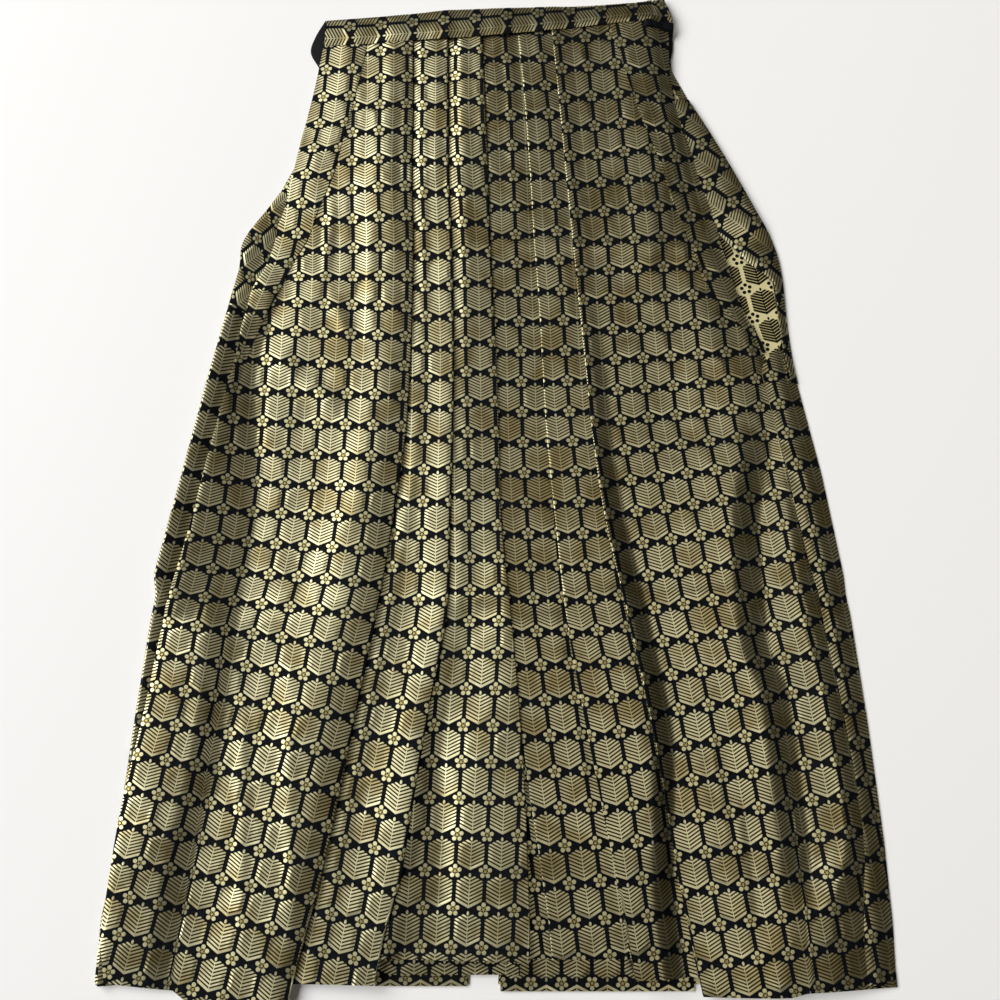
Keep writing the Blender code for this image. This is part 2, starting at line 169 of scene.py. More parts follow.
def stationsOf(height):
    # where the lines of the swell table run across the garment
    at = {name: curved(front, name, height) for name in front if name not in ("height", "hidden")}
    at["leftCrease"] = at["leftCrease"] + offsets["leftCrease"] * smooth((height - 110.0) / 110.0)
    at["leftInner"] = at["leftCrease"] + offsets["leftInner"]
    at["leftOne"] = at["leftOne"] + offsets["leftOne"]
    at["leftCrest"] = at["leftOne"] + offsets["leftCrest"]
    at["leftDip"] = at["leftOne"] + np.minimum(offsets["leftDip"], 0.3 * (at["leftTwo"] - at["leftOne"]))
    at["leftFoot"] = at["leftTwo"] + offsets["leftFoot"]
    at["rightOne"] = at["rightOne"] + offsets["rightOne"] * (1.0 - smooth((height - 60.0) / 190.0))
    at["rightFoot"] = at["rightOne"] + offsets["rightFoot"]
    low = smooth(height / 120.0) * (1.0 - smooth((height - 250.0) / 40.0))
    at["rightCrease"] = at["rightCrease"] + offsets["rightCrease"] * low
    at["rightRidge"] = at["rightCrease"] + offsets["rightRidge"]
    middle = (at["leftSide"] - at["leftCrease"]) / 2
    below = np.maximum(offsets["leftRise"], middle)
    at["leftRise"] = at["leftCrease"] + below + (middle - below) * smooth((height - 312.0) / 14.0)
    crest = 0.05 + 0.45 * smooth((height - 40.0) / 110.0)
    at["rightCrest"] = at["rightCrease"] + crest * (at["rightSide"] - at["rightCrease"])
    return at


def lift(x, height):
    # The same rise in mm for every layer at one place: from line to line of the swell table in turn,
    # then the folds listed one by one, the ridges of storage and the slow waves of slack cloth.
    at = stationsOf(height)
    names = [name for name in swell if name != "height"]
    total = eased(swell, names[0], height)
    for one, two in zip(names[:-1], names[1:]):
        t = np.clip((x - at[one]) / (at[two] - at[one]), 0.0, 1.0)
        step = eased(swell, two, height) - eased(swell, one, height)
        total = total + step * (0.5 * t + 0.5 * smooth(t))
    for i in range(len(drags["x"])):
        start = np.array((drags["x"][i], drags["height"][i]))
        run = np.array((drags["xEnd"][i], drags["heightEnd"][i])) - start
        t = np.clip(((x - start[0]) * run[0] + (height - start[1]) * run[1]) / (run @ run), 0.0, 1.0)
        away = np.hypot(x - start[0] - t * run[0], height - start[1] - t * run[1])
        ends = 0.3 + 0.7 * smooth(4 * t * (1 - t))
        total = total + drags["tall"][i] * bump(away, drags["width"][i]) * ends
    room = smooth((at["rightSide"] - x) / slack["sideRoom"])
    room = room * smooth((x - at["leftSide"]) / slack["sideRoom"])
    level, slope, width = storage["main"]
    uneven = 0.7 + 0.3 * np.sin(x / 11.0 + 1.0) * np.sin(x / 31.0)
    across = uneven * bump(height - level - slope * x, width)
    for level, slope, width in storage["faint"]:
        across = across + 0.5 * bump(height - level - slope * x, width)
    waves = np.sin(x / 11.0 + height / 61.0) + np.sin(height / 23.0 - x / 37.0)
    waves = waves + 0.8 * np.sin(x / 7.3 - height / 47.0 + 1.3) + 2.8
    gather = np.sin(x * 2 * np.pi / slack["gatherWidth"] + height / 90.0) * smooth((height - 560.0) / 160.0)
    return total + room * (storage["tall"] * across + slack["wave"] * waves + slack["gather"] * gather)


def heightOf(layer):
    # a layer's middle in mm above the floor
    return cloth["rest"] + cloth["pitch"] * layer


# The run of the pattern on each panel: one column of blossoms by height, with each one's row number,
# its place across and the tilt of its row.
grain = {
    "leftOne": tableOf(
        "height row x tilt",
        (11, -10, -221, -0.20), (69, -8, -208, -0.20), (124, -6, -195, -0.19), (181, -4, -183, -0.17),
        (239, -2, -168, -0.15), (295, 0, -159, -0.13), (348, 2, -147, -0.09), (403, 4, -139, -0.06),
        (457, 6, -135, -0.055), (513, 8, -133, -0.05), (596, 11, -131, -0.06), (650, 13, -131, 0.03),
        (708, 15, -134, 0.03), (765, 17, -134.5, 0.02), (818, 19, -134, 0.02), (846, 20, -134.5, 0.02),
    ),
    "leftTwo": tableOf(
        "height row x tilt",
        (41, -9, -115, -0.20), (98, -7, -105, -0.20), (155, -5, -96, -0.19), (214, -3, -86, -0.16),
        (273, -1, -75, -0.13), (330, 1, -67, -0.03), (387, 3, -65, 0), (444, 5, -64, 0),
        (500, 7, -63, 0), (555, 9, -63, 0), (613, 11, -65, 0), (672, 13, -67, 0),
        (735, 15, -70, 0), (791, 17, -70, 0), (844, 19, -70, 0),
    ),
    "leftThree": tableOf(
        "height row x tilt",
        (50, -6, -37, 0), (109, -4, -34, 0), (166, -2, -31, 0), (225, 0, -28, 0), (285, 2, -24, 0),
        (338, 4, -23, 0), (394, 6, -24, 0), (449, 8, -25, 0), (505, 10, -26.5, 0), (560, 12, -28, 0),
        (616, 14, -29, 0), (674, 16, -32, 0), (735, 18, -36, 0), (795, 20, -39, 0), (846, 22, -39, 0),
    ),
    "rightThree": tableOf(
        "height row x tilt",
        (42, -8, 66, 0.10), (100, -6, 59, 0.09), (159, -4, 52, 0.08), (217, -2, 44, 0.07),
        (275, 0, 37, 0.05), (331, 2, 31, 0.03), (387, 4, 27, 0.02), (441, 6, 24, 0.02),
        (496, 8, 22, 0.02), (552, 10, 21, 0.02), (608, 12, 19, 0.02), (690, 15, 16, 0.02),
        (750, 17, 14, 0.02), (810, 19, 11, 0.02), (838, 20, 9, 0.02),
    ),
    "rightTwo": tableOf(
        "height row x tilt",
        (46, -11, 126, 0.16), (104, -9, 118, 0.16), (162, -7, 111, 0.15), (220, -5, 102, 0.14),
        (277, -3, 91, 0.12), (331, -1, 80, 0.10), (387, 1, 74, 0.07), (442, 3, 69, 0.05),
        (496, 5, 64, 0.03), (552, 7, 61, 0.03), (609, 9, 58, 0.03), (638, 10, 56, 0.03),
        (720, 13, 52, 0.03), (781, 15, 48, 0.03), (838, 17, 42, 0.03),
    ),
    "rightOne": tableOf(
        "height row x tilt",
        (45, -10, 235, 0.12), (101, -8, 226, 0.13), (158, -6, 217, 0.13), (216, -4, 208, 0.14),
        (274, -2, 198, 0.14), (330, 0, 185, 0.14), (386, 2, 176, 0.13), (441, 4, 167, 0.12),
        (494, 6, 159, 0.10), (548, 8, 155.5, 0.075), (604, 10, 152, 0.06), (660, 12, 150, 0.07),
        (719, 14, 145, 0.10), (774, 16, 140, 0.10), (834, 18, 135, 0.10),
    ),
    "leftStrip": tableOf(
        "height row x tilt",
        (559, -3, -213, -0.30), (588, -2, -206, -0.26), (611, -1, -198, -0.22), (636, 0, -189, -0.2),
        (665, 1, -183, -0.08), (695, 2, -180, -0.06), (724, 3, -177, -0.04), (750, 4, -171, 0),
        (774, 5, -166, 0.02), (801, 6, -163, 0), (829, 7, -161, 0), (857, 8, -159, 0),
    ),
    "rightStrip": tableOf(
        "height row x tilt",
        (596, -2, 199, 0.2), (624, -1, 190, 0.2), (652, 0, 182, 0.18), (681, 1, 177, 0.12),
        (710, 2, 171, 0.08), (739, 3, 165, 0.06), (768, 4, 159, 0.05), (798, 5, 152, 0.03),
        (826, 6, 146, 0.03), (854, 7, 141, 0.03), (882, 8, 136, 0.03),
    ),
}
grain["leftEdge"] = tableOf(
    "height row x tilt",
    (368, 0.5, -283, -0.2), (398, 1.5, -277, -0.2), (428, 2.5, -271, -0.2), (457, 3.5, -265, -0.2),
    (486, 4.5, -259, -0.2), (515, 5.5, -252, -0.2), (546, 6.5, -246, -0.2),
)
grain["rightWrong"] = tableOf(
    "height row x tilt",
    (559, 0, 241, 0.2), (586, 1, 233, 0.2), (614, 2, 227, 0.2), (642, 3, 221, 0.2), (670, 4, 212, 0.2),
)
grain["rightEdge"] = tableOf(
    "height row x tilt",
    (347, 0.5, 295, 0.15), (377, 1.5, 290, 0.15), (407, 2.5, 286, 0.15), (437, 3.5, 280, 0.15),
    (466, 4.5, 273, 0.15), (493, 5.5, 266.5, 0.15), (519, 6.5, 261, 0.15),
)
# cloth that a storage crease takes up, by height
takenUp = tableOf("height left right", (20, 6, 6), (160, 8, 4), (300, 3, 2), (400, 0, 1.5), (560, 0, 1.5))


def along(name, column):
    # pattern coordinates of a point on a panel: across it in repeats from its column, up it in rows.
    # The rows run at a tilt, so a point is first carried level with its own row at the column.
    run = grain[name]

    def coordinates(x, height):
        level = height
        for turn in range(3):
            middle = curved(run, "x", level)
            level = height - curved(run, "tilt", np.clip(level, 0, 880)) * (x - middle)
        across = x - curved(run, "x", level)
        if name == "leftOne":
            beyond = smooth((curved(front, "leftCrease", height) - x) / 6.0 + 0.5)
            across = across - beyond * np.interp(height, takenUp["height"], takenUp["left"])
        if name == "rightOne":
            beyond = smooth((x - curved(front, "rightCrease", height)) / 6.0 + 0.5)
            across = across + beyond * np.interp(height, takenUp["height"], takenUp["right"])
        row = run["row"]
        i = np.clip(np.searchsorted(run["height"], level) - 1, 0, len(row) - 2)
        low, high = run["height"][i], run["height"][i + 1]
        up = row[i] + (row[i + 1] - row[i]) * (level - low) / (high - low)
        return np.stack((across / repeat["across"] + column, up), axis=-1)

    return coordinates


# colours and materials
def linear(code):
    # sRGB hex to the linear colour that a shader takes
    value = np.array([int(code[i : i + 2], 16) for i in (1, 3, 5)]) / 255.0
    value = np.where(value > 0.04045, ((value + 0.055) / 1.055) ** 2.4, value / 12.92)
    return (*value.tolist(), 1.0)


def addNode(tree, kind, values=(), **settings):
    # a node with its settings, then a number or another node for each of its sockets in turn
    made = tree.nodes.new("ShaderNode" + kind)
    for name, value in settings.items():
        setattr(made, name, value)
    pairs = values.items() if isinstance(values, dict) else enumerate(values)
    for place, value in pairs:
        socket = made.inputs[place]
        if isinstance(value, bpy.types.Node):
            value = value.outputs[0]
        if isinstance(value, bpy.types.NodeSocket):
            tree.links.new(value, socket)
        elif value is not None:
            socket.default_value = value
    return made


# the bronze colour mixed into the gilt in patches is painted shade, for gilt floats turned away from the
# light
brocade = {
    "gold": "#BAB48E", "pale": "#CDC8A2", "paintedBronzeShade": "#938354", "line": "#2C2208", "ground": "#0A0A07",
    "speck": "#13223A", "petal": "#BDB78E", "eye": "#C8BA8C", "heart": "#A8965C", "stalk": "#A39660",
    "wrongGround": "#DCD2A0", "wrongStripe": "#B5A871",
    "goldRough": 0.36, "groundRough": 0.6, "goldMetal": 0.96,
    # the hexagon in shares of a repeat; a pair is where a line fades in from nought to one
    "halfWidth": 0.416, "slant": 0.427, "roof": 0.445, "roofSlant": 0.471,
    "firstStripe": 0.281, "stripePitch": 0.0998, "stripe": (0.325, 0.225),
    "stripeEnd": 0.018, "eavesIn": 0.022, "border": (-0.388, -0.400), "rib": (0.020, 0.011),
    "rim": (-0.004, 0.006), "foot": (-0.475, -0.463), "shoulder": (0.325, 0.305),
    "sproutAt": (0.0, 0.398, 0.0), "sproutSize": (0.040, 0.055, 1.0), "sprout": (1.15, 0.85),
    # the blossom in mm
    "petalAt": 3.8, "petalEdge": (1.87, 1.57), "eyeEdge": (0.8, 0.2), "heartEdge": (1.05, 0.75),
    "stalkEdge": (0.30, 0.14), "stalkEnd": (3.3, 2.9),
    # relief in mm
    "pillow": 0.07, "tip": 1.4, "ripple": 0.22, "wide": 0.9, "thread": 0.05,
}


fade = {"interpolation_type": "SMOOTHSTEP"}  # nought to one between a map range's two values


def brocadeMaterial(name, wrongSide=False):
    # Silk brocade, woven: a navy satin ground with hexagons and blossoms in flat gilt-paper weft.
    # The gilt floats shine like soft metal where the cloth tips to the light, the satin stays dark.
    material = bpy.data.materials.new(name)
    material.use_nodes = True
    tree = material.node_tree
    shader = tree.nodes["Principled BSDF"]
    weave = addNode(tree, "UVMap", uv_map="weave")
    half = (0.5, 0.5, 0.0)

    # place inside one hexagon, with its middle at nought
    cell = addNode(tree, "VectorMath", [weave], operation="FLOOR")
    inside = addNode(tree, "VectorMath", [weave, cell], operation="SUBTRACT")
    inside = addNode(tree, "VectorMath", [inside, half], operation="SUBTRACT")
    place = addNode(tree, "SeparateXYZ", [inside])
    side = addNode(tree, "Math", [place.outputs[0]], operation="ABSOLUTE")
    slanted = addNode(tree, "Math", [side, -brocade["slant"], place.outputs[1]], operation="MULTIPLY_ADD")
    roof = addNode(tree, "Math", [side, brocade["roofSlant"], place.outputs[1]], operation="MULTIPLY_ADD")
    roof = addNode(tree, "Math", [brocade["roof"], roof], operation="SUBTRACT")

    # seven rising stripes and a broad lower border, parted by a rib up the middle
    count = addNode(tree, "Math", [brocade["firstStripe"], slanted], operation="SUBTRACT")
    count = addNode(tree, "Math", [count, brocade["stripePitch"]], operation="DIVIDE")
    fromStripe = addNode(tree, "Math", [count, 0.5], operation="PINGPONG")
    stripe = addNode(tree, "MapRange", [fromStripe, *brocade["stripe"]], **fade)
    border = addNode(tree, "MapRange", [slanted, *brocade["border"]], **fade)
    rib = addNode(tree, "MapRange", [side, *brocade["rib"]], **fade)
    figure = addNode(tree, "Math", [stripe, border], operation="MAXIMUM")
    figure = addNode(tree, "Math", [figure, rib], operation="MAXIMUM")

    # the hexagon's outline, a little notched at the ends of the stripes
    edge = addNode(tree, "Math", [stripe, brocade["stripeEnd"], brocade["halfWidth"]],
                   operation="MULTIPLY_ADD")
    edge = addNode(tree, "Math", [edge, side], operation="SUBTRACT")
    eaves = addNode(tree, "Math", [1.0, stripe], operation="SUBTRACT")
    eaves = addNode(tree, "Math", [eaves, -brocade["eavesIn"], roof], operation="MULTIPLY_ADD")
    body = addNode(tree, "MapRange", [edge, *brocade["rim"]], **fade)
    for value, ends in ((eaves, "rim"), (slanted, "foot"), (slanted, "shoulder")):
        share = addNode(tree, "MapRange", [value, *brocade[ends]], **fade)
        body = addNode(tree, "Math", [body, share], operation="MULTIPLY")
    sprout = addNode(tree, "VectorMath", [inside, brocade["sproutAt"]], operation="SUBTRACT")
    sprout = addNode(tree, "VectorMath", [sprout, brocade["sproutSize"]], operation="DIVIDE")
    sprout = addNode(tree, "VectorMath", [sprout, sprout], operation="DOT_PRODUCT").outputs["Value"]
    sprout = addNode(tree, "MapRange", [sprout, *brocade["sprout"]], **fade)
    gold = addNode(tree, "Math", [body, figure], operation="MULTIPLY")
    gold = addNode(tree, "Math", [gold, sprout], operation="MAXIMUM")
    ground = addNode(tree, "Math", [1.0, figure], operation="SUBTRACT")
    lines = addNode(tree, "Math", [body, ground], operation="MULTIPLY")

    # the blossom on each corner of the lattice: five round petals about a small heart
    corner = addNode(tree, "VectorMath", [weave, half], operation="ADD")
    corner = addNode(tree, "VectorMath", [corner], operation="FRACTION")
    corner = addNode(tree, "VectorMath", [corner, half], operation="SUBTRACT")
    corner = addNode(tree, "VectorMath", [corner, (repeat["across"], repeat["along"], 0.0)],
                     operation="MULTIPLY")
    reach = addNode(tree, "VectorMath", [corner], operation="LENGTH").outputs["Value"]
    corner = addNode(tree, "SeparateXYZ", [corner])
    turn = addNode(tree, "Math", corner.outputs[:2], operation="ARCTAN2")
    turn = addNode(tree, "Math", [turn, 5.0 / (2 * np.pi)], operation="MULTIPLY")
    turn = addNode(tree, "Math", [turn, 0.5], operation="PINGPONG")
    turn = addNode(tree, "Math", [turn, 2 * np.pi / 5.0], operation="MULTIPLY")
    # from a petal's middle, squared: reach and petalAt squared less twice their product by the cosine
    toPetal = addNode(tree, "Math", [turn], operation="COSINE")
    toPetal = addNode(tree, "Math", [toPetal, -2 * brocade["petalAt"]], operation="MULTIPLY")
    toPetal = addNode(tree, "Math", [toPetal, reach], operation="ADD")
    toPetal = addNode(tree, "Math", [toPetal, reach, brocade["petalAt"] ** 2], operation="MULTIPLY_ADD")
    toPetal = addNode(tree, "Math", [toPetal, 0.0], operation="MAXIMUM")
    toPetal = addNode(tree, "Math", [toPetal], operation="SQRT")
    petal = addNode(tree, "MapRange", [toPetal, *brocade["petalEdge"]], **fade)
    eye = addNode(tree, "MapRange", [toPetal, *brocade["eyeEdge"]], **fade)
    heart = addNode(tree, "MapRange", [reach, *brocade["heartEdge"]], **fade)
    gap = addNode(tree, "Math", [np.pi / 5.0, turn], operation="SUBTRACT")
    gap = addNode(tree, "Math", [gap], operation="SINE")
    gap = addNode(tree, "Math", [gap, reach], operation="MULTIPLY")
    gap = addNode(tree, "Math", [gap], operation="ABSOLUTE")
    stalk = addNode(tree, "MapRange", [gap, *brocade["stalkEdge"]], **fade)
    stalkEnd = addNode(tree, "MapRange", [reach, *brocade["stalkEnd"]], **fade)
    stalk = addNode(tree, "Math", [stalk, stalkEnd], operation="MULTIPLY")
    flower = addNode(tree, "Math", [heart, stalk], operation="MAXIMUM")
    flower = addNode(tree, "Math", [flower, petal], operation="MAXIMUM")

    # threads: gilt weft lies across, about 0.45 mm a thread, drawn as streaks that differ in tone
    weft = addNode(tree, "Mapping", {"Vector": weave, "Scale": (9.0, 64.0, 1.0)})
    streaks = addNode(tree, "TexNoise", {"Vector": weft, "Scale": 1.0, "Detail": 2.0, "Roughness": 0.6})
    warp = addNode(tree, "Mapping", {"Vector": weave, "Scale": (70.0, 9.0, 1.0)})
    fine = addNode(tree, "TexNoise", {"Vector": warp, "Scale": 1.0, "Detail": 1.0, "Roughness": 0.5})
    chance = addNode(tree, "TexWhiteNoise", {"Vector": cell}, noise_dimensions="3D")
    onCloth = addNode(tree, "TexCoord").outputs["Object"]
    ripple = addNode(tree, "TexNoise", {"Vector": onCloth, "Scale": 62.0, "Detail": 2.5, "Roughness": 0.5})
    wide = addNode(tree, "TexNoise", {"Vector": onCloth, "Scale": 14.0, "Detail": 1.0, "Roughness": 0.4})
    paintedShadeNoise = addNode(tree, "TexNoise", {"Vector": onCloth, "Scale": 30.0, "Detail": 2.0, "Roughness": 0.6})

    # colours laid one over another: how much of each, and its colour
    speck = addNode(tree, "MapRange", [fine, 0.56, 0.72], **fade)
    shade = addNode(tree, "MapRange", [streaks, 0.3, 0.7])
    # patches of darker bronze over the gilt: painted shade, standing in for cloth that tips away from the
    # light
    paintedShade = addNode(tree, "MapRange", [paintedShadeNoise, 0.42, 0.68], **fade)
    paintedShade = addNode(tree, "Math", [paintedShade, 0.75], operation="MULTIPLY")
    eye = addNode(tree, "Math", [eye, 0.5], operation="MULTIPLY")
    navy = addNode(tree, "Mix", {0: speck, 6: linear(brocade["ground"]), 7: linear(brocade["speck"])},
                   data_type="RGBA").outputs[2]
    gilt = addNode(tree, "Mix", {0: shade, 6: linear(brocade["gold"]), 7: linear(brocade["pale"])},
                   data_type="RGBA").outputs[2]
    gilt = addNode(tree, "Mix", {0: paintedShade, 6: gilt, 7: linear(brocade["paintedBronzeShade"])},
                   data_type="RGBA").outputs[2]
    cream = addNode(tree, "Mix", {0: eye, 6: linear(brocade["petal"]), 7: linear(brocade["eye"])},
                    data_type="RGBA").outputs[2]
    figured = addNode(tree, "Math", [gold, flower], operation="MAXIMUM")
    if wrongSide:
        # the gilt lies loose behind the ground, with pale floats behind the stripes
        floats = addNode(tree, "Math", [1.0, rib], operation="SUBTRACT")
        floats = addNode(tree, "Math", [floats, body], operation="MULTIPLY")
        unbound = addNode(tree, "MapRange", [fromStripe, 0.34, 0.42], **fade)
        floats = addNode(tree, "Math", [floats, unbound], operation="MULTIPLY")
        woven = addNode(tree, "Math", [body, sprout], operation="MAXIMUM")
        colour = linear(brocade["wrongGround"])
        layers = ((woven, navy), (floats, linear(brocade["wrongStripe"])), (petal, navy))
        metal = addNode(tree, "Math", [body, petal], operation="MAXIMUM")
        metal = addNode(tree, "Math", [1.0, metal], operation="SUBTRACT")
        metal = addNode(tree, "Math", [metal, 0.5], operation="MULTIPLY")
    else:
        colour = navy
        layers = ((gold, gilt), (lines, linear(brocade["line"])), (stalk, linear(brocade["stalk"])),
                  (petal, cream), (heart, linear(brocade["heart"])))
        metal = figured
    for share, over in layers:
        colour = addNode(tree, "Mix", {0: share, 6: colour, 7: over}, data_type="RGBA").outputs[2]
    tree.links.new(colour, shader.inputs["Base Color"])
    metallic = addNode(tree, "Math", [metal, brocade["goldMetal"]], operation="MULTIPLY")
    tree.links.new(metallic.outputs[0], shader.inputs["Metallic"])
    matt = addNode(tree, "MapRange", [metal, 0.0, 1.0, brocade["groundRough"], brocade["goldRough"]])
    uneven = addNode(tree, "Math", [streaks, 0.5], operation="SUBTRACT")
    matt = addNode(tree, "Math", [uneven, 0.12, matt], operation="MULTIPLY_ADD")
    tree.links.new(matt.outputs[0], shader.inputs["Roughness"])
    shader.inputs["Specular IOR Level"].default_value = 0.05

    # relief in mm: each hexagon is a low pillow that tips its own way, on slow ripples in the cloth
    inset = addNode(tree, "Math", [brocade["halfWidth"] + 0.008, side], operation="SUBTRACT")
    inset = addNode(tree, "Math", [inset, roof], operation="MINIMUM")
    foot = addNode(tree, "Math", [slanted, 0.467], operation="ADD")
    inset = addNode(tree, "Math", [inset, foot], operation="MINIMUM")
    pillow = addNode(tree, "MapRange", [inset, 0.0, 0.13], **fade)
    tip = addNode(tree, "VectorMath", [chance.outputs["Color"], half], operation="SUBTRACT")
    tip = addNode(tree, "VectorMath", [tip, inside], operation="DOT_PRODUCT").outputs["Value"]
    tip = addNode(tree, "Math", [tip, pillow], operation="MULTIPLY")
    tip = addNode(tree, "Math", [tip, brocade["tip"]], operation="MULTIPLY")
    relief = addNode(tree, "Math", [pillow, brocade["pillow"], tip], operation="MULTIPLY_ADD")
    for height, tall in ((figured, "thread"), (ripple, "ripple"), (wide, "wide"), (streaks, "thread")):
        relief = addNode(tree, "Math", [height, brocade[tall], relief], operation="MULTIPLY_ADD")
    raised = addNode(tree, "Bump", {"Strength": 1.0, "Distance": 0.001, "Height": relief})
    tree.links.new(raised.outputs[0], shader.inputs["Normal"])
    return material


satinCloth = {
    "dark": "#030304", "light": "#0B0D12", "rough": (0.40, 0.56), "shine": 0.14,
    "threads": (260.0, 1400.0, 260.0),  # streaks to the metre, coarser than real threads so they show
}


def satinMaterial():
    # Black silk satin, piece-dyed: the ties' smooth close weave, dark with a soft broad shine.
    material = bpy.data.materials.new("blackSatin")
    material.use_nodes = True
    tree = material.node_tree
    shader = tree.nodes["Principled BSDF"]
    place = addNode(tree, "TexCoord").outputs["Object"]
    fine = addNode(tree, "Mapping", {"Vector": place, "Scale": satinCloth["threads"]})
    threads = addNode(tree, "TexNoise", {"Vector": fine, "Scale": 1.0, "Detail": 2.0})
    creases = addNode(tree, "TexNoise", {"Vector": place, "Scale": 85.0, "Detail": 2.0})
    tone = addNode(tree, "Mix", {0: threads, 6: linear(satinCloth["dark"]), 7: linear(satinCloth["light"])},
                   data_type="RGBA")
    tree.links.new(tone.outputs[2], shader.inputs["Base Color"])
    matt = addNode(tree, "MapRange", [threads, 0.2, 0.8, *satinCloth["rough"]])
    tree.links.new(matt.outputs[0], shader.inputs["Roughness"])
    shader.inputs["Specular IOR Level"].default_value = satinCloth["shine"]
    relief = addNode(tree, "Math", [creases, 0.7, threads], operation="MULTIPLY_ADD")
    raised = addNode(tree, "Bump", {"Strength": 0.6, "Distance": 0.0006, "Height": relief})
    tree.links.new(raised.outputs[0], shader.inputs["Normal"])
    return material


faceCloth = brocadeMaterial("brocadeFace")
wrongCloth = brocadeMaterial("brocadeWrongSide", wrongSide=True)
satin = satinMaterial()
print("materials made")


# building cloth
def segment(x, layer, hem, coordinates):
    # one run of a cross-section at every level at once: arrays of levels by points
    full = np.broadcast_to
    return {"x": x, "layer": full(layer, x.shape), "hem": full(hem, x.shape), "uv": coordinates}


def between(start, end, count):
    # points from one edge to another at every level
    t = np.linspace(0.0, 1.0, count)
    return start[:, None] + (end - start)[:, None] * t


def carriedOn(before, x, layer, sign):
    # pattern coordinates carried round a fold by the length of cloth from the last one
    span = np.diff(x, axis=1, prepend=before["x"][:, -1:])
    drop = np.diff(layer, axis=1, prepend=before["layer"][:, -1:]) * cloth["pitch"]
    length = np.cumsum(np.hypot(span, drop), axis=1)
    last = before["uv"][:, -1:]
    u = last[:, :, 0] + sign * length / repeat["across"]
    return np.stack((u, np.broadcast_to(last[:, :, 1], u.shape)), axis=-1)


def folded(before, edge, upper, lower, outward, hem, sign, steps=6):
    # the rounded edge of a fold: half a circle from one layer to the other
    angle = np.linspace(0.0, np.pi, steps + 1)
    middle, half = (upper + lower) / 2, (upper - lower) / 2
    layer = middle[:, None] + half[:, None] * np.cos(angle)
    x = edge[:, None] + outward * np.abs(half)[:, None] * cloth["pitch"] * np.sin(angle)
    return segment(x, layer, hem, carriedOn(before, x, layer, sign))


def clothPiece(name, points, uv, upper, lower, node, normal=None):
    # A closed wall about a grid of points in mm: a face above, one below and a rim between them.
    # uv holds the pattern at the left and right end of each column of faces.
    points = np.asarray(points, float)
    if normal is None:
        run = np.gradient(points[:, :, [0, 2]], axis=1)
        run /= np.linalg.norm(run, axis=2, keepdims=True)
        normal = np.stack((-run[:, :, 1], 0.0 * run[:, :, 0], run[:, :, 0]), axis=-1)
    rows, columns = points.shape[:2]
    grid = np.arange(rows * columns).reshape(rows, columns)
    under = grid + rows * columns
    quads = [np.stack((g[:-1, :-1], g[:-1, 1:], g[1:, 1:], g[1:, :-1]), axis=-1) for g in (grid, under)]
    top = quads[0].reshape(-1, 4)
    bottom = quads[1].reshape(-1, 4)[:, ::-1]
    edge = np.concatenate((grid[0, :-1], grid[:-1, -1], grid[-1, :0:-1], grid[:0:-1, 0]))
    low = edge + rows * columns
    rim = np.stack((edge, low, np.roll(low, -1), np.roll(edge, -1)), axis=-1)
    left, right = uv
    corners = np.stack((left[:-1], right[:-1], right[1:], left[1:]), axis=2).reshape(-1, 4, 2)
    vertexUv = np.concatenate((left, right[:, -1:]), axis=1).reshape(-1, 2)
    rimUv = vertexUv[np.stack((edge, edge, np.roll(edge, -1), np.roll(edge, -1)), axis=-1)]
    loops = np.concatenate((corners, corners[:, ::-1], rimUv)).reshape(-1, 2)
    half = normal * cloth["wall"] / 2
    corner = np.concatenate(((points + half).reshape(-1, 3), (points - half).reshape(-1, 3)))
    corner[:, 1] -= cloth["length"] / 2
    mesh = bpy.data.meshes.new(name)
    mesh.from_pydata((corner * 0.001).tolist(), [], np.concatenate((top, bottom, rim)).tolist())
    layer = mesh.uv_layers.new(name="weave")
    layer.data.foreach_set("uv", loops.ravel())
    mesh.materials.append(upper)
    mesh.materials.append(lower)
    side = np.concatenate((np.zeros(len(top)), np.ones(len(bottom)), np.zeros(len(rim)))).astype(np.int32)
    mesh.polygons.foreach_set("material_index", side)
    mesh.shade_smooth()
    mesh.set_sharp_from_angle(angle=np.radians(48))
    mesh.update()
    made = bpy.data.objects.new(name, mesh)
    bpy.context.scene.collection.objects.link(made)
    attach(made, "root")
    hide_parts(node)
    return made


def joined(segments):
    # the whole cross-section, each run sharing its last point with the next one's first
    parts = [{k: s[k][:, :-1] for k in ("x", "layer", "hem")} for s in segments]
    last = segments[-1]
    parts.append({k: last[k][:, -1:] for k in ("x", "layer", "hem")})
    whole = {k: np.concatenate([p[k] for p in parts], axis=1) for k in ("x", "layer", "hem")}
    left = np.concatenate([s["uv"][:, :-1] for s in segments], axis=1)
    right = np.concatenate([s["uv"][:, 1:] for s in segments], axis=1)
    return whole, (left, right)


def turnedRound(points, uv):
    # the same piece with its columns in the other order, so that its face looks up
    return points[:, ::-1], (uv[1][:, ::-1], uv[0][:, ::-1])


# the pleated fronts
pleats = {
    "leftFold": (1.25, 0.62), "rightFold": (0.95, 0.45),  # layers at a folded edge, above and under
    "climb": 12.0, "sideClimb": 34.0, "quick": 0.5,  # a panel's first climb: widths, and its share
    "margin": 16.0, "least": 10.0, "sunk": 0.68, "edgeHug": 0.4, "centreDrop": 0.6,
    "leftHem": (21.0, 40.0), "rightHem": (26.0, 42.0),
    "panelColumns": 34, "sideColumns": 64, "turnColumns": 16,
}
leftHem = tableOf("x height", (-325, 22), (-262, 15), (-250, 6), (-211, 0), (-166, 4))
rightHem = tableOf("x height", (163, 12), (236, 12), (249, 15), (325, 17))
levels = np.linspace(0.0, 863.0, cloth["rows"])


